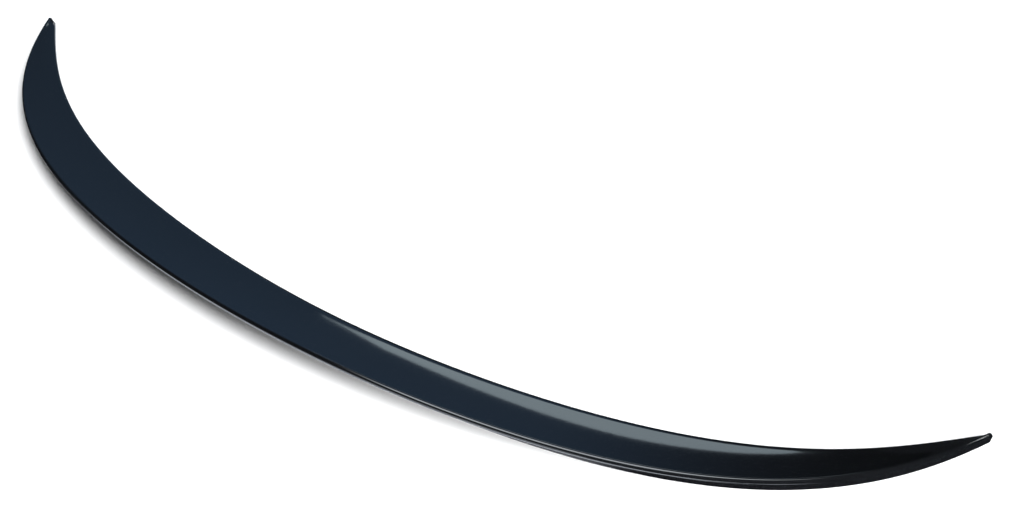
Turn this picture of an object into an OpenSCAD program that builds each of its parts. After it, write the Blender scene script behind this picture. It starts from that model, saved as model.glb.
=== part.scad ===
// Rear spoiler for a car: a crescent lip that bonds to the edge of a boot lid.
// It is one moulded shell. The rear, convex edge rises into a lip with an undercut
// below it, the front edge is thin, and the hollow underside has two flat bonding
// lands and thin cross ribs.
// Frame: X across the car, Y forward, Z up, resting on Z = 0. The origin is the
// middle of the footprint's bounding box.

/* [Plan shape] */
// Width over both tips
span = 1130; // [900:5:1400]
// Angle in degrees through which the lip line has turned at each tip
tip_sweep = 61.5; // [40:0.5:80]
// Share of that turn that builds up evenly from the centre
even_turn = 0.513; // [0.2:0.001:0.8]
// How late the rest of the turn comes
late_turn = 2.15; // [1.2:0.05:4]
// Depth from the lip to the front edge at the centre
depth_mid = 68.7; // [50:0.1:110]
// Depth at the tips
depth_tip = 6.3; // [3.5:0.1:12]
// How late the depth tapers away
depth_taper = 3.4; // [1.5:0.1:6]
// Length over which each tip is rounded off
tip_round = 12; // [4:0.5:20]

/* [Lip] */
// Height of the lip at the centre
lip_mid = 31; // [24:0.5:60]
// Height of the lip at the tips
lip_tip = 11.5; // [10:0.5:24]
// How late the lip comes down
lip_taper = 1.6; // [1.2:0.1:4]
// Radius of the upper edge of the lip
lip_round = 2; // [0.8:0.1:3]
// Height of the upright rear face under that edge
blade_h = 0.5; // [0.25:0.25:4]
// Radius of the lower edge of the rear face
under_round = 5.5; // [2:0.25:8]
// Angle in degrees through which that edge turns in under the lip at the centre
under_sweep = 76; // [50:1:88]
// That angle at the tips, in degrees
under_sweep_tip = 9; // [2:1:30]

/* [Undercut] */
// How far the rear foot stands in from the lip at the centre
foot_mid = 20.5; // [8:0.1:24]
// How far it stands in at the tips
foot_tip = 0.6; // [0.4:0.1:2.4]
// How fast the undercut fades towards the tips
foot_fade = 2; // [1:0.1:3]
// Height of the upright edge at the foot
foot_edge = 2; // [1:0.25:3]

/* [Top] */
// Dish of the top: 0 is straight, 1 meets the front edge level
dish = 0.15; // [0:0.05:0.8]
// Thickness of the front edge at the centre
front_mid = 2.4; // [1.8:0.1:4]
// Thickness of the front edge at the tips
front_tip = 6; // [4:0.25:8]
// Radius that rolls the top into the front edge at the centre
roll_mid = 1.4; // [0.8:0.1:1.7]
// That radius at the tips
roll_tip = 2.6; // [1.5:0.1:3.5]

/* [Underside] */
// Wall of the shell
wall = 2.8; // [2:0.1:4]
// Width of the front bonding land at the centre
land_front = 12; // [8:0.5:16]
// Width of the rear bonding land at the centre
land_rear = 10; // [6:0.5:14]
// Width of both lands where the hollow ends
land_end = 4; // [3:0.25:6]
// Thickness of the flange that carries the rear land
flange_t = 3; // [2:0.25:4]
// Length of each tip that is left solid
tip_solid = 62; // [45:1:110]

/* [Ribs] */
// Number of cross ribs
ribs = 16; // [6:2:30]
// Thickness of a rib at its free edge
rib_t = 1.6; // [1:0.1:3]
// Draft of each side of a rib, in degrees
rib_draft = 1; // [0.25:0.25:3]
// How far the free edge of the ribs stays above the lands
rib_recess = 1; // [0.5:0.1:1.5]

/* [Finish] */
// Colour of the moulding
body_colour = "#15191d";

/* [Hidden] */

// Steps along the part: in each bay, along a solid tip and round its end
bay_steps = 4;
arm_steps = 3;
tip_steps = 5;
// Steps round a small edge, up the cove and over the top
edge_steps = 3;
cove_steps = 6;
top_steps = 8;
// Steps of the hollow: up its rear wall and along its roof
rear_steps = 4;
roof_steps = 7;
// Shares of the depth and of the height that are left at the very end of a rounded tip
tip_face = 0.3;
tip_low = 0.55;
// Height left open in the sharp corner behind the lip
corner_gap = 1.2;
// Share of the cove that the hollow stays short of at the centre
corner_solid = 0.4;
// Halvings that find where two curves of a section meet
halvings = 14;
// Pull of the cove's two ends on the curve between them, as a share of its chord
cove_pull = 0.45;

// Plan of the lip line. s runs from -1 at the left tip over 0 to 1 at the right.
function sgn(s) = s < 0 ? -1 : 1;
function ease(u) = u * u * (3 - 2 * u);
function turn(s) = sgn(s) * tip_sweep
    * (even_turn * abs(s) + (1 - even_turn) * ease(pow(abs(s), late_turn)));

plan_steps = 240;
run_x = [for (i = 0, x = 0; i <= plan_steps; x = x + cos(turn((i + 0.5) / plan_steps)), i = i + 1)
    [i / plan_steps, x / plan_steps]];
run_y = [for (i = 0, y = 0; i <= plan_steps; y = y + sin(turn((i + 0.5) / plan_steps)), i = i + 1)
    [i / plan_steps, y / plan_steps]];
// Width that the rounding takes off each tip
tip_inset = depth_tip / 2 * (1 - tip_face) * sin(tip_sweep);
// Length of the lip line from the centre to a tip
arm = (span / 2 + tip_inset) / run_x[plan_steps][1];
function lip_x(s) = arm * sgn(s) * lookup(abs(s), run_x);
function lip_y(s) = arm * lookup(abs(s), run_y);

// Sizes of the section at station s
function depth(s) = depth_tip + (depth_mid - depth_tip) * (1 - pow(abs(s), depth_taper));
function lip_h(s) = lip_mid + (lip_tip - lip_mid) * pow(abs(s), lip_taper);
function foot(s) = foot_tip + (foot_mid - foot_tip) * pow(1 - s * s, foot_fade);
function under(s) = under_sweep_tip
    + (under_sweep - under_sweep_tip) * pow(1 - s * s, foot_fade);
function front_t(s) = front_mid + (front_tip - front_mid) * pow(abs(s), depth_taper);
function roll(s) = roll_mid + (roll_tip - roll_mid) * pow(abs(s), depth_taper);

// A section is drawn with [q, z]: q runs forward from the lip, square to the lip line.
function arc(q, z, r, a, b, n) = [for (i = [0 : n]) let (t = a + (b - a) * i / n)
    [q + r * cos(t), z + r * sin(t)]];
function bezier(a, b, c, d, t) = pow(1 - t, 3) * a + 3 * t * pow(1 - t, 2) * b
    + 3 * t * t * (1 - t) * c + pow(t, 3) * d;
function bezier_run(a, b, c, d, t) = pow(1 - t, 2) * (b - a) + 2 * t * (1 - t) * (c - b)
    + t * t * (d - c);
function mix(a, b, t) = a + (b - a) * t;

// The top is a parabola from the lip down to the front edge
function mean_slope(s) = (lip_h(s) - front_t(s)) / depth(s);
function lip_angle(s) = 90 - atan(mean_slope(s) * (1 + dish));
function front_angle(s) = 90 - atan(mean_slope(s) * (1 - dish));
function top_rear(s) = [lip_round, lip_h(s) - lip_round]
    + lip_round * [cos(lip_angle(s)), sin(lip_angle(s))];
function top_front(s) = [depth(s) - roll(s), front_t(s) - roll(s)]
    + roll(s) * [cos(front_angle(s)), sin(front_angle(s))];
function top_z(s, q) = let (a = top_rear(s), b = top_front(s), u = (b[0] - q) / (b[0] - a[0]))
    b[1] + (a[1] - b[1]) * ((1 - dish) * u + dish * u * u);

// The cove runs from the foot, t = 0, up to the lower edge of the rear face, t = 1
function cove_poles(s) = let (
    a = under(s),
    low = [foot(s), foot_edge],
    high = [under_round * (1 - cos(a)), lip_h(s) - lip_round - blade_h - under_round * sin(a)],
    pull = cove_pull * norm(high - low))
    [low, low + pull * [0, 1], high + pull * [sin(a), -cos(a)], high];
function cove(s, t) = let (p = cove_poles(s)) bezier(p[0], p[1], p[2], p[3], t);

// Outline of the solid section, from the foot round the lip to the front edge
function outline(s) = let (h = lip_h(s), d = depth(s), a = top_rear(s), b = top_front(s)) concat(
    [[foot(s), 0]],
    [for (i = [0 : cove_steps - 1]) cove(s, i / cove_steps)],
    arc(under_round, h - lip_round - blade_h, under_round, 180 + under(s), 180, edge_steps),
    arc(lip_round, h - lip_round, lip_round, 180, lip_angle(s), edge_steps + 1),
    [for (i = [1 : top_steps - 1]) let (q = mix(a[0], b[0], i / top_steps)) [q, top_z(s, q)]],
    arc(d - roll(s), front_t(s) - roll(s), roll(s), front_angle(s), 0, edge_steps),
    [[d, 0]]);

// Hollow of the underside at station s
hollow_end = 1 - tip_solid / arm;
function land(mid, s) = land_end + (mid - land_end) * (1 - pow(abs(s) / hollow_end, depth_taper));
function roof_z(s, q) = top_z(s, q) - wall / sin(lip_angle(s));
function inner_cove(s, t) = let (p = cove_poles(s), run = bezier_run(p[0], p[1], p[2], p[3], t))
    cove(s, t) + wall * [run[1], -run[0]] / norm(run);
// Where the inner side of the cove comes within the corner gap of the roof
function corner(s, lo, hi, n) = n == 0 ? lo : let (m = (lo + hi) / 2, p = inner_cove(s, m))
    roof_z(s, p[0]) - p[1] > corner_gap ? corner(s, m, hi, n - 1) : corner(s, lo, m, n - 1);
// Where it leaves the flange
function above_flange(s, lo, hi, n) = n == 0 ? lo : let (m = (lo + hi) / 2)
    inner_cove(s, m)[1] < flange_t ? above_flange(s, m, hi, n - 1) : above_flange(s, lo, m, n - 1);
// Path of the hollow from the front land over the roof to the rear land
function hollow(s) = let (
    front = depth(s) - land(land_front, s),
    rear = foot(s) + land(land_rear, s),
    low = above_flange(s, 0, 1, halvings),
    high = corner(s, low, 1 - corner_solid * pow(1 - s * s, foot_fade), halvings),
    q_high = inner_cove(s, high)[0]) concat(
    [[front, 0], [front, rib_recess]],
    [for (i = [0 : roof_steps]) let (q = mix(front, q_high, i / roof_steps)) [q, roof_z(s, q)]],
    [for (i = [0 : rear_steps]) inner_cove(s, mix(high, low, i / rear_steps))],
    [[rear, flange_t], [rear, rib_recess], [rear, 0]]);

// Stations of the hollow, from left to right: each bay runs from rib to rib
pitch = 2 * hollow_end / (ribs + 1);
half_rib = rib_t / 2 / arm;
function bay_from(k) = -hollow_end + pitch * k + (k == 0 ? 0 : half_rib);
function bay_to(k) = -hollow_end + pitch * (k + 1) - (k == ribs ? 0 : half_rib);
bay_stations = [for (k = [0 : ribs]) for (i = [0 : bay_steps])
    mix(bay_from(k), bay_to(k), i / bay_steps)];
// Side of a rib that a station lies on: -1 before it, 1 after it, 0 for any other station
function rib_side(i) = let (at = i % (bay_steps + 1))
    at == 0 && i > 0 ? 1 : at == bay_steps && i < len(bay_stations) - 1 ? -1 : 0;

// Stations of the right tip beyond the hollow: [s, squeeze]
round_from = 1 - tip_round / arm;
tip_turn = acos(tip_face);
tip_stations = concat(
    [for (i = [1 : arm_steps]) [mix(hollow_end, round_from, i / arm_steps), 1]],
    [for (i = [1 : tip_steps]) let (a = tip_turn * i / tip_steps)
        [mix(round_from, 1, sin(a) / sin(tip_turn)), cos(a)]]);
stations = concat(
    [for (i = [len(tip_stations) - 1 : -1 : 0]) [-tip_stations[i][0], tip_stations[i][1]]],
    [for (s = bay_stations) [s, 1]],
    tip_stations);

// Puts a section point into plan. Squeeze narrows a section about its middle and lowers it.
function lower(squeeze) = mix(tip_low, 1, (squeeze - tip_face) / (1 - tip_face));
function place(s, p, squeeze = 1) = let (m = depth(s) / 2, q = m + (p[0] - m) * squeeze)
    [lip_x(s) - q * sin(turn(s)), lip_y(s) + q * cos(turn(s)), p[1] * lower(squeeze)];
// The sides of a rib lean outwards from its free edge to its root
function lean(i, z) = rib_side(i) * max(z - rib_recess, 0) * tan(rib_draft) / arm;

skin_rings = [for (t = stations) [for (p = outline(t[0])) place(t[0], p, t[1])]];
hollow_rings = [for (i = [0 : len(bay_stations) - 1])
    [for (p = hollow(bay_stations[i])) place(bay_stations[i] + lean(i, p[1]), p)]];
all_y = [for (ring = skin_rings) for (p = ring) p[1]];
// Forward offset of the lip's centre that puts the origin in the middle of the footprint
shift_y = -(min(all_y) + max(all_y)) / 2;

// Points of the shell: all skin rings, then all hollow rings
skin_n = len(skin_rings[0]);
hollow_n = len(hollow_rings[0]);
first = len(tip_stations);
last = first + len(bay_stations) - 1;
function skin_at(i, j) = i * skin_n + j;
function hollow_at(i, j) = len(skin_rings) * skin_n + (i - first) * hollow_n + j;
// Places on a hollow ring: the rib's free edge meets the front wall and the rear wall
front_edge = 1;
rear_edge = hollow_n - 2;
fan = hollow_n - 3;

// Two triangles between point a, b of one ring and point c, d of the next
function patch(a, b, c, d) = [[a, d, c], [a, b, d]];
function skin_patches(i) = [for (j = [0 : skin_n - 2])
    each patch(skin_at(i, j), skin_at(i, j + 1), skin_at(i + 1, j), skin_at(i + 1, j + 1))];
function hollow_patch(i, j, k) =
    patch(hollow_at(i, j), hollow_at(i, k), hollow_at(i + 1, j), hollow_at(i + 1, k));
function land_patches(i) = concat(
    patch(skin_at(i, skin_n - 1), hollow_at(i, 0), skin_at(i + 1, skin_n - 1), hollow_at(i + 1, 0)),
    patch(hollow_at(i, hollow_n - 1), skin_at(i, 0), hollow_at(i + 1, hollow_n - 1), skin_at(i + 1, 0)));
function open_patches(i) = [for (j = [0 : hollow_n - 2]) each hollow_patch(i, j, j + 1)];
function rib_patches(i) = concat(
    hollow_patch(i, 0, front_edge),
    hollow_patch(i, front_edge, rear_edge),
    hollow_patch(i, rear_edge, hollow_n - 1));

// A wall across the hollow at ring i. It faces left where the material starts there.
function facing(t, left) = left ? t : [t[0], t[2], t[1]];
function wall_faces(i, left) = concat(
    [for (j = [front_edge : fan - 2])
        facing([hollow_at(i, fan), hollow_at(i, j), hollow_at(i, j + 1)], left)],
    [facing([hollow_at(i, fan), hollow_at(i, rear_edge), hollow_at(i, front_edge)], left)]);
function sill_faces(i, left) = [
    facing([hollow_at(i, 0), hollow_at(i, front_edge), hollow_at(i, rear_edge)], left),
    facing([hollow_at(i, 0), hollow_at(i, rear_edge), hollow_at(i, hollow_n - 1)], left)];

// Underside of a tip, and of its first stretch, where the two lands run into it
function tip_patch(i) = patch(skin_at(i, skin_n - 1), skin_at(i, 0),
    skin_at(i + 1, skin_n - 1), skin_at(i + 1, 0));
function land_end_faces(i, next, left) = [for (t = [
    [skin_at(i, skin_n - 1), hollow_at(i, 0), skin_at(next, 0)],
    [hollow_at(i, 0), hollow_at(i, hollow_n - 1), skin_at(next, 0)],
    [hollow_at(i, hollow_n - 1), skin_at(i, 0), skin_at(next, 0)],
    [skin_at(next, skin_n - 1), skin_at(i, skin_n - 1), skin_at(next, 0)]]) facing(t, left)];
// The blunt end of a tip, as a fan round the middle of its ring
function middle(ring) = [for (k = [0 : 2]) (min([for (p = ring) p[k]]) + max([for (p = ring) p[k]])) / 2];
function end_faces(i, hub, left) = [for (j = [0 : skin_n - 1])
    facing([hub, skin_at(i, (j + 1) % skin_n), skin_at(i, j)], left)];

module shell() {
    end = len(stations) - 1;
    hub = hollow_at(last, hollow_n);
    polyhedron(
        points = concat(
            [for (ring = skin_rings) each ring],
            [for (ring = hollow_rings) each ring],
            [middle(skin_rings[0]), middle(skin_rings[end])]),
        faces = concat(
            end_faces(0, hub, true),
            end_faces(end, hub + 1, false),
            [for (i = [0 : end - 1]) each skin_patches(i)],
            [for (i = [first : last - 1]) each land_patches(i)],
            [for (i = [first : last - 1]) each rib_side(i - first) < 0 ? rib_patches(i) : open_patches(i)],
            [for (i = [first : last]) if (rib_side(i - first) != 0)
                each wall_faces(i, rib_side(i - first) < 0)],
            wall_faces(first, false), sill_faces(first, false),
            wall_faces(last, true), sill_faces(last, true),
            [for (i = [0 : first - 2]) each tip_patch(i)],
            [for (i = [last + 1 : end - 1]) each tip_patch(i)],
            land_end_faces(first, first - 1, false),
            land_end_faces(last, last + 1, true)));
}

module spoiler() {
    color(body_colour)
        translate([0, shift_y, 0])
            shell();
}

spoiler();
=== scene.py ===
"""A gloss black lip spoiler for a boot lid, dressed for a studio view from behind and above."""

import logging
import math
from collections.abc import Callable
from dataclasses import dataclass
from enum import Enum, IntEnum

import bpy
import numpy as np
from mathutils import Matrix, Vector


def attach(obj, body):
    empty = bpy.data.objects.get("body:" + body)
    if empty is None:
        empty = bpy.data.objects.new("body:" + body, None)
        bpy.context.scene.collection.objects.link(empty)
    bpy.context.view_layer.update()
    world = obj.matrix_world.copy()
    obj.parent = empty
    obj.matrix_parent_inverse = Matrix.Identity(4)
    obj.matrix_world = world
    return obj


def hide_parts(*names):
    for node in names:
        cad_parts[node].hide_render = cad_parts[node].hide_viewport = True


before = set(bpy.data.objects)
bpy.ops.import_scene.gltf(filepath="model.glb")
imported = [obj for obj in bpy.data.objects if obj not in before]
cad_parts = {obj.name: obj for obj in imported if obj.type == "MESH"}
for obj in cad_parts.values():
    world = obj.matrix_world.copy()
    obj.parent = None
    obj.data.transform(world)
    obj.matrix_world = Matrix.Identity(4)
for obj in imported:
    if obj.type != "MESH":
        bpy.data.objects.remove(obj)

LOG = logging.getLogger("spoiler_scene")
MM = 0.001
IMAGE_WIDTH = 1024
SENSOR_MM = 36.0
BLACK = (0.0, 0.0, 0.0)
REFRACTION = 1.5

Colour = tuple[float, float, float]
Point = tuple[float, float, float]
SectionPoint = tuple[float, float]
Rail = tuple[Callable[[int, int], int], int]
Owner = bpy.types.Material | bpy.types.World


class Region(Enum):
    """The two finishes of the moulding, by the index of their material."""

    SKIN = 0
    INSIDE = 1


class RibSide(IntEnum):
    """Where a ring of the hollow lies: before a rib, in a bay or past a rib, from left to right."""

    BEFORE = -1
    BAY = 0
    PAST = 1


class Value:
    """A number that varies over a surface: one output socket of a node tree.

    Args:
        sheet: The node sheet that the socket belongs to.
        socket: The output socket.
    """

    def __init__(self, sheet: "NodeSheet", socket: bpy.types.NodeSocket) -> None:
        """Keeps the sheet and the socket."""
        self.sheet = sheet
        self.socket = socket

    def _math(self, operation: str, *terms: "Value | float") -> "Value":
        """Adds a Math node and returns its result."""
        inputs = dict(enumerate(terms))
        return self.sheet.node("ShaderNodeMath", {"operation": operation}, inputs)

    def __add__(self, other: "Value | float") -> "Value":
        """Returns self + other."""
        return self._math("ADD", self, other)

    __radd__ = __add__

    def __mul__(self, other: "Value | float") -> "Value":
        """Returns self * other."""
        return self._math("MULTIPLY", self, other)

    __rmul__ = __mul__

    def __sub__(self, other: "Value | float") -> "Value":
        """Returns self - other."""
        return self._math("SUBTRACT", self, other)

    def __rsub__(self, other: float) -> "Value":
        """Returns other - self."""
        return self._math("SUBTRACT", other, self)

    def __pow__(self, power: float) -> "Value":
        """Returns self raised to a power."""
        return self._math("POWER", self, power)

    def above(self, edge: float, width: float) -> "Value":
        """Returns a soft step from 0 to 1 that starts at an edge and is as wide as given."""
        inputs = {0: self, 1: edge, 2: edge + width}
        return self.sheet.node("ShaderNodeMapRange", {"interpolation_type": "SMOOTHSTEP"}, inputs)


class NodeSheet:
    """The node tree of a material or of the world, with its shader.

    Args:
        owner: The material or the world.
        shader: The name of its shader node.
    """

    def __init__(self, owner: Owner, shader: str = "Principled BSDF") -> None:
        """Keeps the owner, its tree and its shader."""
        self.owner = owner
        owner.use_nodes = True
        self.tree = owner.node_tree
        self.shader = self.tree.nodes[shader]

    def node(
        self,
        kind: str,
        settings: dict[str, object],
        inputs: dict[str | int, object],
        out: str | int = 0,
    ) -> Value:
        """Adds a node.

        Args:
            kind: The node's type.
            settings: Its own settings, set before its sockets.
            inputs: A number, a vector or a value for each socket, by name or index.
            out: The output socket that is wanted.

        Returns:
            That output.
        """
        node = self.tree.nodes.new(kind)
        for name, setting in settings.items():
            setattr(node, name, setting)
        for key, given in inputs.items():
            self.join(node.inputs[key], given)
        return Value(self, node.outputs[out])

    def join(self, socket: bpy.types.NodeSocket, given: object) -> None:
        """Links a value to a socket, or sets it.

        Args:
            socket: The input socket.
            given: A value to link, or a constant.
        """
        if isinstance(given, Value):
            self.tree.links.new(given.socket, socket)
        else:
            socket.default_value = given

    def noise(self, size: float, detail: float, stretch: Point = (1.0, 1.0, 1.0)) -> Value:
        """Adds noise on the object's own coordinates.

        Args:
            size: The size of its features, in metres.
            detail: How many finer octaves it has.
            stretch: Factors on the three axes.

        Returns:
            Noise from 0 to 1 about a half.
        """
        place = self.node("ShaderNodeTexCoord", {}, {}, "Object")
        terms = {0: place, 1: stretch}
        scaled = self.node("ShaderNodeVectorMath", {"operation": "MULTIPLY"}, terms)
        inputs = {"Vector": scaled, "Scale": 1.0 / size, "Detail": detail}
        return self.node("ShaderNodeTexNoise", {}, inputs, "Fac")

    def specks(self, size: float, share: float) -> Value:
        """Adds round specks.

        Args:
            size: The spacing of the specks, in metres.
            share: How large they are in that spacing.

        Returns:
            A mask that is 1 on a speck.
        """
        place = self.node("ShaderNodeTexCoord", {}, {}, "Object")
        inputs = {"Vector": place, "Scale": 1.0 / size}
        near = self.node("ShaderNodeTexVoronoi", {}, inputs, "Distance")
        return 1.0 - near.above(share * 0.5, share * 0.5)

    def blend(self, mask: Value, low: Colour, high: Colour) -> Value:
        """Returns a colour between two, by a mask."""
        inputs = {"Factor": mask, "A": (*low, 1.0), "B": (*high, 1.0)}
        return self.node("ShaderNodeMix", {"data_type": "RGBA"}, inputs, 2)

    def bump(self, height: Value, depth: float) -> Value:
        """Returns a normal bumped by a height from 0 to 1, where 1 stands for a depth in metres."""
        inputs = {"Height": height, "Distance": depth, "Strength": 1.0}
        return self.node("ShaderNodeBump", {}, inputs, "Normal")

    def finish(self, sockets: dict[str, object]) -> Owner:
        """Sets the shader's sockets.

        Args:
            sockets: A value or a constant for each socket, by name.

        Returns:
            The tree's owner.
        """
        for name, given in sockets.items():
            self.join(self.shader.inputs[name], given)
        return self.owner


@dataclass(frozen=True)
class GlossPaint:
    """Black paint under a clear coat, polished, with faint haze and dust. Lengths are in metres.

    Args:
        name: The material's name.
        deep: Colour of the clean paint.
        haze: Colour where it is hazy or dusty.
        roughness: Roughness of the clean paint.
        haze_roughness: The most that haze adds to it.
        dust_roughness: What a speck of dust adds to it.
        cloud_size: Size of the hazy areas.
        swirl_size: Size of the polishing swirls in them.
        swirl_stretch: Factors on the swirls' three axes.
        dust_gap: Spacing of the specks of dust.
        dust_share: Size of a speck in that spacing.
        patch_size: Size of the patches where dust lies.
        patch_edge: Level of the noise at which a patch starts.
        patch_fade: Width of a patch's soft edge, in the same measure.
        peel_size: Size of the waves of the orange peel.
        peel_depth: Depth of those waves.
        coat: Weight of the clear coat.
        coat_roughness: Roughness of the clear coat.
    """

    name: str = "gloss_black_paint"
    deep: Colour = (0.0028, 0.0032, 0.0038)
    haze: Colour = (0.0048, 0.0054, 0.0062)
    roughness: float = 0.045
    haze_roughness: float = 0.035
    dust_roughness: float = 0.2
    cloud_size: float = 0.12
    swirl_size: float = 0.004
    swirl_stretch: Point = (1.0, 1.0, 3.0)
    dust_gap: float = 0.0065
    dust_share: float = 0.035
    patch_size: float = 0.05
    patch_edge: float = 0.5
    patch_fade: float = 0.2
    peel_size: float = 0.0035
    peel_depth: float = 0.0000035
    coat: float = 0.35
    coat_roughness: float = 0.03

    def material(self) -> Owner:
        """Mixes the paint.

        Returns:
            Its material.
        """
        sheet = NodeSheet(bpy.data.materials.new(self.name))
        cloud = sheet.noise(self.cloud_size, detail=3.0)
        swirl = sheet.noise(self.swirl_size, detail=4.0, stretch=self.swirl_stretch)
        specks = sheet.specks(self.dust_gap, self.dust_share)
        patches = sheet.noise(self.patch_size, detail=2.0).above(self.patch_edge, self.patch_fade)
        dust = specks * patches
        peel = sheet.noise(self.peel_size, detail=1.0)
        hazy = self.roughness + cloud * (swirl**2.0) * self.haze_roughness
        return sheet.finish(
            {
                "Base Color": sheet.blend(cloud * 0.5 + dust * 0.5, self.deep, self.haze),
                "Roughness": hazy + dust * self.dust_roughness,
                "IOR": REFRACTION,
                "Coat Weight": self.coat,
                "Coat Roughness": self.coat_roughness,
                "Normal": sheet.bump(peel, self.peel_depth),
            }
        )


@dataclass(frozen=True)
class MouldedPlastic:
    """The bare moulding of the underside, with a fine grain and faint flow marks, in metres.

    Args:
        name: The material's name.
        dark: Colour of the plastic.
        light: Colour of its flow marks.
        roughness: Roughness of the plastic without marks or grain.
        flow_size: Size of the flow marks.
        flow_stretch: Factors on their three axes.
        flow_edge: Level of the noise at which a mark starts.
        flow_fade: Width of a mark's soft edge, in the same measure.
        flow_roughness: The most that a mark adds to the roughness.
        grain_size: Size of the grain.
        grain_roughness: The most that the grain takes from the roughness.
        grain_depth: Depth of the grain.
    """

    name: str = "moulded_black_plastic"
    dark: Colour = (0.012, 0.013, 0.014)
    light: Colour = (0.026, 0.027, 0.028)
    roughness: float = 0.42
    flow_size: float = 0.06
    flow_stretch: Point = (0.4, 1.6, 1.0)
    flow_edge: float = 0.35
    flow_fade: float = 0.4
    flow_roughness: float = 0.16
    grain_size: float = 0.0007
    grain_roughness: float = 0.05
    grain_depth: float = 0.00004

    def material(self) -> Owner:
        """Mixes the plastic.

        Returns:
            Its material.
        """
        sheet = NodeSheet(bpy.data.materials.new(self.name))
        flow = sheet.noise(self.flow_size, detail=3.0, stretch=self.flow_stretch)
        grain = sheet.noise(self.grain_size, detail=2.0)
        marks = self.roughness + flow * self.flow_roughness
        mask = flow.above(self.flow_edge, self.flow_fade)
        return sheet.finish(
            {
                "Base Color": sheet.blend(mask, self.dark, self.light),
                "Roughness": marks - grain * self.grain_roughness,
                "IOR": REFRACTION,
                "Normal": sheet.bump(grain, self.grain_depth),
            }
        )


@dataclass(frozen=True)
class FloorSheet:
    """The pale, matt sheet that the part lies on.

    Args:
        name: The material's name.
        colour: Its lightest colour.
        fibre_size: Size of the fibres, in metres.
        fibre_shade: Its darkest colour, as a share of the lightest.
        roughness: Its roughness.
        sheen: Its specular level.
    """

    name: str = "pale_floor"
    colour: Colour = (0.92, 0.925, 0.93)
    fibre_size: float = 0.002
    fibre_shade: float = 0.985
    roughness: float = 0.85
    sheen: float = 0.2

    def material(self) -> Owner:
        """Mixes the sheet's finish.

        Returns:
            Its material.
        """
        sheet = NodeSheet(bpy.data.materials.new(self.name))
        fibre = sheet.noise(self.fibre_size, detail=2.0)
        shade = tuple(channel * self.fibre_shade for channel in self.colour)
        return sheet.finish(
            {
                "Base Color": sheet.blend(fibre, shade, self.colour),
                "Roughness": self.roughness,
                "Specular IOR Level": self.sheen,
            }
        )


def arc(
    centre: SectionPoint, radius: float, start: float, end: float, steps: int
) -> list[SectionPoint]:
    """Returns points on an arc of a section, between two angles in degrees."""
    angles = [math.radians(start + (end - start) * i / steps) for i in range(steps + 1)]
    return [(centre[0] + radius * math.cos(t), centre[1] + radius * math.sin(t)) for t in angles]


def mix(a: float, b: float, t: float) -> float:
    """Returns the value a share t of the way from a to b."""
    return a + (b - a) * t


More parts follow.
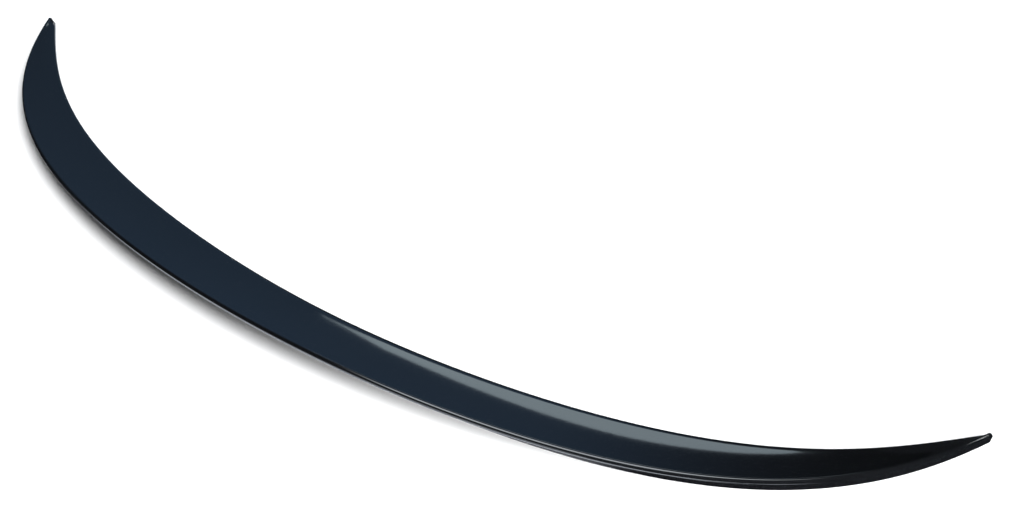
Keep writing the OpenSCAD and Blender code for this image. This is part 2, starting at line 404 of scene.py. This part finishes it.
@dataclass
class SpoilerShell:
    """The moulding: a crescent lip lofted along its curved lip line.

    A station s is a place along the lip line: -1 at the left tip, 0 at the centre and 1 at the
    right tip. In a section, q goes forward from the lip and z up from the foot. Sizes are in
    millimetres and angles in degrees.

    Args:
        span: Width over both tips.
        tip_sweep: Heading of the lip line at the tips.
        even_turn: Share of that heading that comes evenly along the arm.
        late_turn: Power that holds the rest back towards the tips.
        depth_mid: Depth from the lip to the front edge, at the centre.
        depth_tip: The same at the tips.
        depth_taper: Power by which depth, front edge and lands change along the arm.
        lip_mid: Height of the lip at the centre.
        lip_tip: The same at the tips.
        lip_taper: Power by which it falls along the arm.
        lip_round: Radius of the lip.
        blade_h: Height of the upright blade under that radius.
        dish: How far the top's slope departs from its mean at both ends, as a share.
        front_fall: Slope that is added where the top meets the front edge.
        fall_power: How short that fall is: the higher, the shorter.
        front_mid: Thickness of the front edge at the centre.
        front_tip: The same at the tips.
        roll_mid: Radius from the top into the front edge, at the centre.
        roll_tip: The same at the tips.
        under_round: Radius from the blade into the cove.
        under_sweep: Angle of that turn at the centre.
        under_sweep_tip: The same at the tips.
        cove_pull: Pull of the cove's inner poles, as a share of the distance between its ends.
        foot_mid: How far the rear foot stands in from the lip, at the centre.
        foot_tip: The same at the tips.
        foot_fade: Power by which the undercut fades towards the tips.
        foot_edge: Height at which the cove starts at the foot.
        edge_round: Radius of the lower corners.
        tip_round: Length of the rounded end, along the lip line.
        tip_face: Width of the blunt end, as a share of the section's.
        tip_low: Height of the blunt end, as a share of the section's.
        tip_middle: Place about which the end narrows, as a share of the depth.
        tip_solid: Length of the solid tip, along the lip line.
        wall: Wall over the hollow.
        flange_t: Thickness of the rear land at the hollow.
        land_front: Width of the front bonding land at the centre.
        land_rear: Width of the rear bonding land at the centre.
        land_end: Width of both lands where the hollow ends.
        corner_gap: Least height of the hollow's rear end, under the roof.
        corner_solid: Least share of the cove that has no hollow behind it, at the centre.
        ribs: Number of cross ribs.
        rib_t: Thickness of a rib at its free edge.
        rib_draft: Draft of a rib's sides.
        rib_recess: How far the ribs stand back from the lands.
        sharp_angle: Faces that meet at more than this keep a sharp edge.
        bay_steps: Steps from rib to rib.
        arm_steps: Steps from the hollow to the rounded end.
        tip_steps: Steps over the rounded end.
        corner_steps: Steps round a lower corner.
        cove_steps: Steps along the cove.
        edge_steps: Steps round the turn into the cove and the front edge's roll.
        lip_steps: Steps round the lip.
        top_steps: Steps across the top.
        roof_steps: Steps across the hollow's roof.
        rear_steps: Steps down the hollow's rear.
        plan_steps: Steps in which the heading is summed up.
        halvings: How often a search along the cove is halved.
    """

    span: float = 1130.0
    tip_sweep: float = 61.5
    even_turn: float = 0.513
    late_turn: float = 2.15
    depth_mid: float = 68.7
    depth_tip: float = 6.3
    depth_taper: float = 3.4
    lip_mid: float = 31.0
    lip_tip: float = 11.5
    lip_taper: float = 1.6
    lip_round: float = 2.0
    blade_h: float = 0.5
    dish: float = 0.15
    front_fall: float = 0.3
    fall_power: float = 36.0
    front_mid: float = 2.4
    front_tip: float = 6.0
    roll_mid: float = 1.4
    roll_tip: float = 2.6
    under_round: float = 5.5
    under_sweep: float = 76.0
    under_sweep_tip: float = 9.0
    cove_pull: float = 0.45
    foot_mid: float = 20.5
    foot_tip: float = 0.6
    foot_fade: float = 2.0
    foot_edge: float = 2.0
    edge_round: float = 0.35
    tip_round: float = 3.0
    tip_face: float = 0.85
    tip_low: float = 0.8
    tip_middle: float = 0.3
    tip_solid: float = 62.0
    wall: float = 2.8
    flange_t: float = 3.0
    land_front: float = 12.0
    land_rear: float = 10.0
    land_end: float = 4.0
    corner_gap: float = 1.2
    corner_solid: float = 0.4
    ribs: int = 16
    rib_t: float = 1.6
    rib_draft: float = 1.0
    rib_recess: float = 1.0
    sharp_angle: float = 32.0
    bay_steps: int = 10
    arm_steps: int = 16
    tip_steps: int = 12
    corner_steps: int = 2
    cove_steps: int = 18
    edge_steps: int = 10
    lip_steps: int = 12
    top_steps: int = 40
    roof_steps: int = 18
    rear_steps: int = 10
    plan_steps: int = 4000
    halvings: int = 26

    def __post_init__(self) -> None:
        """Sums up the heading into the lip line's plan."""
        mids = (np.arange(self.plan_steps) + 0.5) / self.plan_steps
        turns = np.radians([self.turn(s) for s in mids])
        self._grid = np.linspace(0.0, 1.0, self.plan_steps + 1)
        self._run_x = np.concatenate([[0.0], np.cumsum(np.cos(turns))]) / self.plan_steps
        self._run_y = np.concatenate([[0.0], np.cumsum(np.sin(turns))]) / self.plan_steps
        narrowed = self.depth_tip * self.tip_middle * (1 - self.tip_face)
        inset = narrowed * math.sin(math.radians(self.tip_sweep))
        self.arm = (self.span / 2 + inset) / self._run_x[-1]
        self.hollow_end = 1 - self.tip_solid / self.arm

    def turn(self, s: float) -> float:
        """Finds the heading of the lip line.

        Args:
            s: The station.

        Returns:
            The heading, with the station's sign.
        """
        late = abs(s) ** self.late_turn
        share = self.even_turn * abs(s) + (1 - self.even_turn) * late * late * (3 - 2 * late)
        return math.copysign(self.tip_sweep * share, s)

    def lip_line(self, s: float) -> tuple[float, float]:
        """Returns the plan place of the lip at station s."""
        x = self.arm * math.copysign(float(np.interp(abs(s), self._grid, self._run_x)), s)
        return x, self.arm * float(np.interp(abs(s), self._grid, self._run_y))

    def taper(self, mid: float, tip: float, power: float, s: float) -> float:
        """Returns a size that goes from mid at the centre to tip at the tips."""
        return mid + (tip - mid) * abs(s) ** power

    def fade(self, mid: float, tip: float, s: float) -> float:
        """Returns a size of the undercut, which fades from mid to tip."""
        return tip + (mid - tip) * max(1 - s * s, 0.0) ** self.foot_fade

    def depth(self, s: float) -> float:
        """Returns the depth from the lip to the front edge."""
        return self.taper(self.depth_mid, self.depth_tip, self.depth_taper, s)

    def lip_h(self, s: float) -> float:
        """Returns the height of the lip."""
        return self.taper(self.lip_mid, self.lip_tip, self.lip_taper, s)

    def foot(self, s: float) -> float:
        """Returns how far the rear foot stands in from the lip."""
        return self.fade(self.foot_mid, self.foot_tip, s)

    def front_t(self, s: float) -> float:
        """Returns the thickness of the front edge."""
        return self.taper(self.front_mid, self.front_tip, self.depth_taper, s)

    def roll(self, s: float) -> float:
        """Returns the radius that rolls the top into the front edge."""
        return self.taper(self.roll_mid, self.roll_tip, self.depth_taper, s)

    def edge_angle(self, s: float, bend: float, fall: float = 0.0) -> float:
        """Returns the angle of the top's normal, at a slope of bend times its mean plus fall."""
        slope = (self.lip_h(s) - self.front_t(s)) / self.depth(s)
        return 90 - math.degrees(math.atan(slope * bend + fall))

    def rear_angle(self, s: float) -> float:
        """Returns the angle of the top's normal where it meets the lip."""
        return self.edge_angle(s, 1 + self.dish)

    def front_angle(self, s: float) -> float:
        """Returns the angle of the top's normal where it meets the front edge's roll."""
        return self.edge_angle(s, 1 - self.dish, self.front_fall)

    def top_ends(self, s: float) -> tuple[SectionPoint, SectionPoint]:
        """Finds where the top meets the lip and the front edge.

        Args:
            s: The station.

        Returns:
            The rear end and the front end, each as (q, z).
        """
        rear = math.radians(self.rear_angle(s))
        front = math.radians(self.front_angle(s))
        lip, roll = self.lip_round, self.roll(s)
        rear_q = lip + lip * math.cos(rear)
        rear_z = self.lip_h(s) - lip + lip * math.sin(rear)
        front_q = self.depth(s) - roll + roll * math.cos(front)
        front_z = self.front_t(s) - roll + roll * math.sin(front)
        return (rear_q, rear_z), (front_q, front_z)

    def top_z(self, s: float, q: float) -> float:
        """Finds the height of the top, a parabola with a short fall at its front.

        Args:
            s: The station.
            q: The place in the section.

        Returns:
            The height.
        """
        (rear_q, rear_z), (front_q, front_z) = self.top_ends(s)
        share = (front_q - q) / (front_q - rear_q)
        most = self.front_fall / self.fall_power * (front_q - rear_q)
        swell = most * (1 - share) * (1 - max(1 - share, 0.0) ** self.fall_power)
        rise = (1 - self.dish) * share + self.dish * share * share
        return front_z + (rear_z - front_z) * rise + swell

    def cove_poles(self, s: float) -> np.ndarray:
        """Finds the four poles of the cove's curve.

        Args:
            s: The station.

        Returns:
            The poles from the foot up to the lip, each as (q, z).
        """
        turn_in = math.radians(self.fade(self.under_sweep, self.under_sweep_tip, s))
        low = np.array([self.foot(s), self.foot_edge])
        drop = self.lip_round + self.blade_h + self.under_round * math.sin(turn_in)
        high = np.array([self.under_round * (1 - math.cos(turn_in)), self.lip_h(s) - drop])
        pull = self.cove_pull * float(np.linalg.norm(high - low))
        leave = np.array([math.sin(turn_in), -math.cos(turn_in)])
        return np.array([low, low + pull * np.array([0.0, 1.0]), high + pull * leave, high])

    def cove(self, s: float, t: float, offset: float = 0.0) -> SectionPoint:
        """Finds a point on the cove.

        Args:
            s: The station.
            t: The place on the curve: 0 at the foot, 1 under the lip.
            offset: How far inside the surface the point lies.

        Returns:
            The point as (q, z).
        """
        foot, rise, reach, top = self.cove_poles(s)
        w = 1 - t
        point = w**3 * foot + 3 * t * w * w * rise + 3 * t * t * w * reach + t**3 * top
        run = w * w * (rise - foot) + 2 * t * w * (reach - rise) + t * t * (top - reach)
        inward = np.array([run[1], -run[0]]) / np.linalg.norm(run)
        q, z = point + offset * inward
        return float(q), float(z)

    def rear_outline(self, s: float) -> list[SectionPoint]:
        """Draws the rear of a section.

        Args:
            s: The station.

        Returns:
            Points from the foot up the cove and the blade, and round the lip.
        """
        corner, under, lip = self.edge_round, self.under_round, self.lip_round
        lip_z = self.lip_h(s) - lip
        blade_z = lip_z - self.blade_h
        turn_in = self.fade(self.under_sweep, self.under_sweep_tip, s)
        return (
            arc((self.foot(s) + corner, corner), corner, 270, 180, self.corner_steps)
            + [self.cove(s, i / self.cove_steps) for i in range(self.cove_steps)]
            + arc((under, blade_z), under, 180 + turn_in, 180, self.edge_steps)
            + [(0.0, mix(blade_z, lip_z, 0.5))]
            + arc((lip, lip_z), lip, 180, self.rear_angle(s), self.lip_steps)
        )

    def front_outline(self, s: float) -> list[SectionPoint]:
        """Draws the front edge of a section.

        Args:
            s: The station.

        Returns:
            Points from the top round the roll, and round the lower corner.
        """
        depth, roll, thick = self.depth(s), self.roll(s), self.front_t(s)
        corner = min(self.edge_round, thick - roll)
        upper = (depth - roll, thick - roll)
        return (
            arc(upper, roll, self.front_angle(s), 0, self.edge_steps)
            + arc((depth - corner, corner), corner, 0, -90, self.corner_steps)[1:]
        )

    def outline(self, s: float) -> list[SectionPoint]:
        """Draws the outside of a section.

        Args:
            s: The station.

        Returns:
            Points from the foot round the lip to the front edge.
        """
        (rear_q, _), (front_q, _) = self.top_ends(s)
        places = [mix(rear_q, front_q, i / self.top_steps) for i in range(1, self.top_steps)]
        top = [(q, self.top_z(s, q)) for q in places]
        return self.rear_outline(s) + top + self.front_outline(s)

    def _halve(self, low: float, high: float, below: Callable[[float], bool]) -> float:
        """Searches for the place where a test stops being true.

        Args:
            low: A place where it is true.
            high: The end of the search.
            below: The test.

        Returns:
            The last place found where it is true.
        """
        for _ in range(self.halvings):
            middle = (low + high) / 2
            low, high = (middle, high) if below(middle) else (low, middle)
        return low

    def roof_z(self, s: float, q: float) -> float:
        """Returns the height of the hollow's roof."""
        slant = math.radians(self.rear_angle(s))
        return self.top_z(s, q) - self.wall / math.sin(slant)

    def land(self, mid: float, s: float) -> float:
        """Returns the width of a bonding land that is mid wide at the centre."""
        share = min(abs(s) / self.hollow_end, 1.0) ** self.depth_taper
        return self.land_end + (mid - self.land_end) * (1 - share)

    def hollow(self, s: float) -> list[SectionPoint]:
        """Draws the hollow of a section.

        Args:
            s: The station.

        Returns:
            Points from the front land over the roof to the rear land.
        """
        front = self.depth(s) - self.land(self.land_front, s)
        rear = self.foot(s) + self.land(self.land_rear, s)
        low = self._halve(0.0, 1.0, lambda t: self.cove(s, t, self.wall)[1] < self.flange_t)

        def under_roof(t: float) -> bool:
            """Tells whether the inner side of the cove is still well under the roof."""
            q, z = self.cove(s, t, self.wall)
            return self.roof_z(s, q) - z > self.corner_gap

        limit = 1 - self.corner_solid * (1 - s * s) ** self.foot_fade
        high = self._halve(low, limit, under_roof)
        rear_q = self.cove(s, high, self.wall)[0]
        places = [mix(front, rear_q, i / self.roof_steps) for i in range(self.roof_steps + 1)]
        rises = [mix(high, low, i / self.rear_steps) for i in range(self.rear_steps + 1)]
        return (
            [(front, 0.0), (front, self.rib_recess)]
            + [(q, self.roof_z(s, q)) for q in places]
            + [self.cove(s, t, self.wall) for t in rises]
            + [(rear, self.flange_t), (rear, self.rib_recess), (rear, 0.0)]
        )

    def bay_stations(self) -> list[tuple[float, RibSide]]:
        """Finds the stations of the hollow.

        Returns:
            Each station with its side of a rib, from left to right.
        """
        pitch = 2 * self.hollow_end / (self.ribs + 1)
        half_rib = self.rib_t / 2 / self.arm
        found = []
        for bay in range(self.ribs + 1):
            start = -self.hollow_end + pitch * bay + (half_rib if bay else 0.0)
            end = -self.hollow_end + pitch * (bay + 1) - (half_rib if bay < self.ribs else 0.0)
            for i in range(self.bay_steps + 1):
                side = RibSide.BAY
                if i == 0 and bay:
                    side = RibSide.PAST
                elif i == self.bay_steps and bay < self.ribs:
                    side = RibSide.BEFORE
                found.append((mix(start, end, i / self.bay_steps), side))
        return found

    def tip_stations(self) -> list[tuple[float, float]]:
        """Finds the stations of the right tip beyond the hollow.

        Returns:
            Each station with the width of its section, as a share of the full width.
        """
        start = 1 - self.tip_round / self.arm
        whole = math.acos(self.tip_face)
        shares = [i / self.arm_steps for i in range(1, self.arm_steps + 1)]
        arm = [(mix(self.hollow_end, start, share), 1.0) for share in shares]
        angles = [whole * i / self.tip_steps for i in range(1, self.tip_steps + 1)]
        end = [(mix(start, 1.0, math.sin(a) / math.sin(whole)), math.cos(a)) for a in angles]
        return arm + end

    def place(self, s: float, section: list[SectionPoint], squeeze: float = 1.0) -> np.ndarray:
        """Puts a section's points into the frame of the lip's centre.

        Args:
            s: The station.
            section: Its points as (q, z).
            squeeze: The width of the section, as a share of its full width.

        Returns:
            An array of points, in millimetres.
        """
        points = np.array(section)
        middle = self.depth(s) * self.tip_middle
        q = middle + (points[:, 0] - middle) * squeeze
        fullness = (squeeze - self.tip_face) / (1 - self.tip_face)
        z = points[:, 1] * mix(self.tip_low, 1.0, fullness)
        heading = math.radians(self.turn(s))
        x, y = self.lip_line(s)
        return np.stack([x - q * math.sin(heading), y + q * math.cos(heading), z], 1)

    def leaned(self, s: float, side: RibSide) -> np.ndarray:
        """Makes a ring of the hollow, with the draft of a rib's side.

        Args:
            s: The station.
            side: The side of a rib on which it lies.

        Returns:
            An array of points, in millimetres.
        """
        slope = side * math.tan(math.radians(self.rib_draft)) / self.arm
        rows = []
        for q, z in self.hollow(s):
            rows.append(self.place(s + slope * max(z - self.rib_recess, 0.0), [(q, z)]))
        return np.concatenate(rows)

    def build(self) -> bpy.types.Object:
        """Builds the mesh, in metres in the model's frame.

        Returns:
            The object, with the index of a material on each face.
        """
        bays, tip = self.bay_stations(), self.tip_stations()
        stations = [(-s, k) for s, k in reversed(tip)] + [(s, 1.0) for s, _ in bays] + tip
        skin = np.array([self.place(s, self.outline(s), k) for s, k in stations])
        hollow = np.array([self.leaned(s, side) for s, side in bays])
        y_low, y_high = skin[:, :, 1].min(), skin[:, :, 1].max()
        shift = np.array([0.0, -(y_low + y_high) / 2, 0.0])
        sides = [side for _, side in bays]
        faces = ShellFaces(len(tip), skin.shape[:2], hollow.shape[:2], sides)
        points = np.concatenate([skin.reshape(-1, 3), hollow.reshape(-1, 3)]) + shift
        mesh = bpy.data.meshes.new("spoiler_shell")
        mesh.from_pydata((points * MM).tolist(), [], faces.corners)
        mesh.polygons.foreach_set("material_index", faces.regions)
        mesh.polygons.foreach_set("use_smooth", [True] * len(faces.corners))
        mesh.set_sharp_from_angle(angle=math.radians(self.sharp_angle))
        mesh.update()
        shell = bpy.data.objects.new("spoiler_shell", mesh)
        bpy.context.scene.collection.objects.link(shell)
        return shell

    def dress(self, shell: bpy.types.Object) -> None:
        """Gives the shell its materials and its place in the frame.

        Args:
            shell: The object that was built.
        """
        for finish in (GlossPaint(), MouldedPlastic()):
            shell.data.materials.append(finish.material())
        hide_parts("spoiler")
        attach(shell, "root")


class ShellFaces:
    """The faces between the rings of the skin and the rings of the hollow.

    Args:
        first: The skin ring at which the hollow starts.
        skin: How many skin rings there are, and the points of each.
        hollow: How many hollow rings there are, and the points of each.
        sides: The side of a rib on which each hollow ring lies.
    """

    def __init__(
        self, first: int, skin: tuple[int, int], hollow: tuple[int, int], sides: list[RibSide]
    ) -> None:
        """Builds all faces."""
        self.first, self.last = first, first + hollow[0] - 1
        self.rings, self.skin_n = skin
        self.hollow_n = hollow[1]
        self.corners: list[list[int]] = []
        self.regions: list[int] = []
        self._outside()
        self._underside(sides)

    def _skin(self, ring: int, point: int) -> int:
        """Returns the index of a skin point."""
        return ring * self.skin_n + point % self.skin_n

    def _hollow(self, ring: int, point: int) -> int:
        """Returns the index of a hollow point, counted from the end if it is negative."""
        first = self.rings * self.skin_n
        return first + (ring - self.first) * self.hollow_n + point % self.hollow_n

    def _add(self, region: Region, corners: list[int], flip: bool = False) -> None:
        """Adds one face, given clockwise as seen from outside, or the other way if flipped."""
        self.corners.append(corners if flip else corners[::-1])
        self.regions.append(region.value)

    def _quad(self, region: Region, ring: int, one: Rail, other: Rail) -> None:
        """Adds a face from one ring to the next, between two rails.

        Args:
            region: The finish of the face.
            ring: The ring at which it starts.
            one: The first rail: whether it runs on the skin or the hollow, and its point.
            other: The second rail.
        """
        (index, j), (other_index, k) = one, other
        corners = [index(ring, j), other_index(ring, k)]
        corners += [other_index(ring + 1, k), index(ring + 1, j)]
        self._add(region, corners)

    def _outside(self) -> None:
        """Adds the outer skin and the blunt ends of the tips."""
        for ring in range(self.rings - 1):
            for j in range(self.skin_n - 1):
                self._quad(Region.SKIN, ring, (self._skin, j), (self._skin, j + 1))
        for ring, flip in ((0, True), (self.rings - 1, False)):
            self._add(Region.SKIN, [self._skin(ring, j) for j in range(self.skin_n)], flip)

    def _underside(self, sides: list[RibSide]) -> None:
        """Adds the lands, the hollow with its ribs, and the flat underside of the tips.

        Args:
            sides: The side of a rib on which each hollow ring lies.
        """
        end = self.hollow_n - 1
        for ring, side in zip(range(self.first, self.last), sides):
            self._quad(Region.INSIDE, ring, (self._skin, -1), (self._hollow, 0))
            self._quad(Region.INSIDE, ring, (self._hollow, end), (self._skin, 0))
            self._roof(ring, side)
        for ring, side in enumerate(sides, self.first):
            if side != RibSide.BAY:
                self._wall(ring, 1, end - 1, side == RibSide.PAST)
        self._wall(self.first, 0, end, True)
        self._wall(self.last, 0, end, False)
        for ring in (*range(self.first - 1), *range(self.last + 1, self.rings - 1)):
            self._quad(Region.INSIDE, ring, (self._skin, -1), (self._skin, 0))
        self._land_end(self.first, self.first - 1, True)
        self._land_end(self.last, self.last + 1, False)

    def _roof(self, ring: int, side: RibSide) -> None:
        """Adds the hollow from one ring to the next, or the free edge of a rib.

        Args:
            ring: The ring at which it starts.
            side: The side of a rib on which that ring lies.
        """
        end = self.hollow_n - 1
        stops = [0, 1, end - 1, end] if side == RibSide.BEFORE else list(range(end + 1))
        for j, k in zip(stops, stops[1:]):
            self._quad(Region.INSIDE, ring, (self._hollow, j), (self._hollow, k))

    def _wall(self, ring: int, start: int, stop: int, flip: bool) -> None:
        """Adds a wall across the hollow, between two of a ring's points."""
        self._add(Region.INSIDE, [self._hollow(ring, j) for j in range(start, stop + 1)], flip)

    def _land_end(self, ring: int, beyond: int, flip: bool) -> None:
        """Adds the flat where both lands run into a solid tip.

        Args:
            ring: The last ring of the hollow.
            beyond: The skin ring next to it, on the tip.
            flip: Whether its corners are turned round.
        """
        corners = [self._skin(ring, -1), self._hollow(ring, 0), self._hollow(ring, -1)]
        corners += [self._skin(ring, 0), self._skin(beyond, 0), self._skin(beyond, -1)]
        self._add(Region.INSIDE, corners, flip)


@dataclass
class Viewpoint:
    """The camera of the photograph, in millimetres and degrees.

    Args:
        place: Where it stands.
        azimuth: How far it stands round from behind the part, towards +X.
        elevation: How far it looks down.
        focal_px: Its focal length, in pixels of the picture.
        nearest: The nearest that it shows, in metres.
        farthest: The farthest that it shows, in metres.
    """

    place: Point = (633.12, -709.0, 914.93)
    azimuth: float = 33.4085
    elevation: float = 43.4253
    focal_px: float = 1379.249
    nearest: float = 0.01
    farthest: float = 50.0

    def build(self) -> None:
        """Makes the camera and makes it the scene's."""
        azimuth, elevation = math.radians(self.azimuth), math.radians(self.elevation)
        level, up = math.cos(elevation), math.sin(elevation)
        back = Vector((math.sin(azimuth) * level, -math.cos(azimuth) * level, up))
        right = Vector((math.cos(azimuth), math.sin(azimuth), 0.0))
        turn = Matrix((right, back.cross(right), back)).transposed().to_4x4()
        data = bpy.data.cameras.new("view")
        data.sensor_width = SENSOR_MM
        data.lens = self.focal_px * SENSOR_MM / IMAGE_WIDTH
        data.clip_start, data.clip_end = self.nearest, self.farthest
        camera = bpy.data.objects.new("view", data)
        camera.matrix_world = Matrix.Translation(Vector(self.place) * MM) @ turn
        bpy.context.scene.collection.objects.link(camera)
        bpy.context.scene.camera = camera


def hang(data: bpy.types.Light, place: Vector, beam: Vector) -> None:
    """Puts a light into the scene, where neither the camera nor the gloss sees it.

    Args:
        data: The light.
        place: Where it hangs, in metres.
        beam: The direction in which it shines.
    """
    lamp = bpy.data.objects.new(data.name, data)
    lamp.location = place
    lamp.rotation_euler = beam.to_track_quat("-Z", "Y").to_euler()
    lamp.visible_camera = False
    lamp.visible_glossy = False
    bpy.context.scene.collection.objects.link(lamp)


@dataclass(frozen=True)
class Softbox:
    """One area light, in metres, watts and degrees.

    Args:
        name: Its name.
        place: Where it hangs.
        aim: The point that it faces.
        width: Its width.
        height: Its height.
        power: Its power.
        spread: The angle to which its light is held.
    """

    name: str
    place: Point
    aim: Point
    width: float
    height: float
    power: float
    spread: float = 180.0

    def build(self) -> None:
        """Makes the light, facing its aim."""
        data = bpy.data.lights.new(self.name, "AREA")
        data.shape = "RECTANGLE"
        data.size, data.size_y = self.width, self.height
        data.energy = self.power
        data.spread = math.radians(self.spread)
        hang(data, Vector(self.place), Vector(self.aim) - Vector(self.place))


@dataclass(frozen=True)
class SoftSun:
    """An even light over the whole floor.

    Args:
        name: Its name.
        toward: The direction from which it shines.
        strength: Its strength, in watts per square metre.
        angle: The angle that its disc takes up, in degrees.
    """

    name: str
    toward: Point
    strength: float
    angle: float

    def build(self) -> None:
        """Makes the light."""
        data = bpy.data.lights.new(self.name, "SUN")
        data.energy = self.strength
        data.angle = math.radians(self.angle)
        hang(data, Vector(), -Vector(self.toward))


def panel(low: Point, high: Point) -> tuple[Point, ...]:
    """Finds the corners of an upright or level card.

    Args:
        low: Its lowest corner on all axes.
        high: Its highest corner on all axes, which shares one coordinate with the lowest.

    Returns:
        The four corners in turn, in metres.
    """
    first = next(axis for axis in range(3) if low[axis] != high[axis])
    second, fourth = list(low), list(high)
    second[first], fourth[first] = high[first], low[first]
    return low, tuple(second), high, tuple(fourth)


@dataclass(frozen=True)
class LitCard:
    """A flat card in the studio that shows only in the part's gloss, in metres.

    Args:
        name: The name of the card and of its material.
        outline: Its corners in turn.
        glow: The light that it gives.
        fade_from: Where along X its light starts to fade to black.
        fade_to: Where along X it is black. With both alike the light is even.
    """

    name: str
    outline: tuple[Point, ...]
    glow: Colour
    fade_from: float = 0.0
    fade_to: float = 0.0

    def material(self) -> Owner:
        """Mixes the card's glow.

        Returns:
            Its material.
        """
        sheet = NodeSheet(bpy.data.materials.new(self.name))
        tint: object = (*self.glow, 1.0)
        if self.fade_to != self.fade_from:
            place = sheet.node("ShaderNodeTexCoord", {}, {}, "Object")
            along = sheet.node("ShaderNodeSeparateXYZ", {}, {0: place}, "X")
            faded = along.above(self.fade_from, self.fade_to - self.fade_from)
            tint = sheet.blend(faded, self.glow, BLACK)
        return sheet.finish(
            {
                "Base Color": (*BLACK, 1.0),
                "Roughness": 1.0,
                "Specular IOR Level": 0.0,
                "Emission Color": tint,
                "Emission Strength": 1.0,
            }
        )

    def build(self) -> None:
        """Makes the card."""
        mesh = bpy.data.meshes.new(self.name)
        mesh.from_pydata(list(self.outline), [], [tuple(range(len(self.outline)))])
        mesh.materials.append(self.material())
        card = bpy.data.objects.new(self.name, mesh)
        card.visible_camera = False
        card.visible_shadow = False
        card.visible_diffuse = False
        bpy.context.scene.collection.objects.link(card)


@dataclass
class Studio:
    """The pale floor, the dim surroundings, the soft lights and the cards, in metres.

    Args:
        floor_half: Half the floor's side.
        above: Light of the surroundings.
        below: Their light from below on the left, which the gloss mirrors instead of the floor.
        below_edge: Upward part of a direction up to which that light is full.
        left_edge: Rightward part of a direction up to which that light is full.
        soft_step: How far past both of them it fades out.
        pale_y: Place of the pale card.
        pale_foot: Lower edge of the pale card, as (x, z).
        pale_depth: Height of the pale card.
    """

    floor_half: float = 30.0
    above: Colour = (0.020, 0.022, 0.026)
    below: Colour = (1.0, 1.07, 1.18)
    below_edge: float = -0.77
    left_edge: float = -0.06
    soft_step: float = 0.16
    pale_y: float = 0.9
    pale_foot: tuple[tuple[float, float], ...] = (
        (-0.560, 0.228),
        (-0.450, 0.211),
        (-0.319, 0.217),
        (-0.200, 0.227),
        (-0.087, 0.238),
        (0.013, 0.253),
        (0.098, 0.264),
        (0.170, 0.287),
    )
    pale_depth: float = 0.1

    def lights(self) -> list[Softbox | SoftSun]:
        """Lists the soft lights.

        Returns:
            The key light, the fill behind the centre and the light overhead.
        """
        key = SoftSun("key_light", toward=(1.45, -0.2, 1.8), strength=4.6, angle=38.0)
        fill = Softbox(
            "rear_fill",
            place=(0.75, -1.6, 1.0),
            aim=(0.51, -0.1, 0.0),
            width=0.4,
            height=0.4,
            power=3.1,
            spread=36.0,
        )
        overhead = Softbox(
            "overhead",
            place=(0.0, 0.0, 2.2),
            aim=(0.0, 0.0, 0.0),
            width=3.0,
            height=3.0,
            power=23.0,
        )
        return [key, fill, overhead]

    def pale_outline(self) -> tuple[Point, ...]:
        """Returns the corners of the pale card, along its curved foot and back along its top."""
        foot = [(x, self.pale_y, z) for x, z in self.pale_foot]
        return *foot, *[(x, y, z + self.pale_depth) for x, y, z in reversed(foot)]

    def cards(self) -> list[LitCard]:
        """Lists the cards that the gloss mirrors.

        Returns:
            The pale band, the dark blue of the top, and the three cards of the light lines.
        """
        dusk = panel((-3.0, 1.0, 0.05), (0.14, 1.0, 1.6))
        roof = panel((-1.0, -2.2, 2.2), (1.3, 0.4, 2.2))
        low = panel((-1.1, 0.5, -0.6), (-0.6, 0.5, 0.03))
        side = panel((1.17, 0.6, 0.85), (1.17, 0.7, 0.95))
        return [
            LitCard("pale_card", self.pale_outline(), glow=(1.42, 1.74, 1.92)),
            LitCard("dusk_card", dusk, glow=(0.076, 0.140, 0.238), fade_from=-0.26, fade_to=0.14),
            LitCard("roof_card", roof, glow=(5.4, 5.8, 6.1), fade_from=-0.55, fade_to=-1.0),
            LitCard("low_card", low, glow=(1.25, 1.3, 1.4)),
            LitCard("side_card", side, glow=(56.0, 58.0, 60.0)),
        ]

    def floor(self) -> None:
        """Makes the floor. The gloss doesn't mirror it."""
        half = self.floor_half
        mesh = bpy.data.meshes.new("floor")
        mesh.from_pydata(panel((-half, -half, 0.0), (half, half, 0.0)), [], [(0, 1, 2, 3)])
        floor = bpy.data.objects.new("floor", mesh)
        floor.visible_glossy = False
        mesh.materials.append(FloorSheet().material())
        bpy.context.scene.collection.objects.link(floor)

    def world(self) -> None:
        """Sets the surroundings, and the plain view of the light."""
        scene = bpy.context.scene
        sheet = NodeSheet(bpy.data.worlds.new("surroundings"), "Background")
        toward = sheet.node("ShaderNodeTexCoord", {}, {}, "Generated")
        sideways = sheet.node("ShaderNodeSeparateXYZ", {}, {0: toward}, "X")
        upward = sheet.node("ShaderNodeSeparateXYZ", {}, {0: toward}, "Z")
        down = 1.0 - upward.above(self.below_edge, self.soft_step)
        low = down * (1.0 - sideways.above(self.left_edge, self.soft_step))
        scene.world = sheet.finish({"Color": sheet.blend(low, self.above, self.below)})
        scene.view_settings.view_transform = "Standard"

    def build(self) -> None:
        """Builds the studio."""
        self.world()
        self.floor()
        for maker in (*self.lights(), *self.cards()):
            maker.build()


def corners(box: tuple[Vector, Vector]) -> list[list[float]]:
    """Returns a box as two plain lists of numbers."""
    return [[float(number) for number in corner] for corner in box]


def main() -> None:
    """Builds the camera, the part and the studio, and logs how many faces the shell has."""
    logging.basicConfig(level=logging.INFO, format="%(message)s")
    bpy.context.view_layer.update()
    Viewpoint().build()
    part = SpoilerShell()
    shell = part.build()
    part.dress(shell)
    LOG.info("%s: %d faces", shell.name, len(shell.data.polygons))
    Studio().build()


if __name__ == "__main__":
    main()
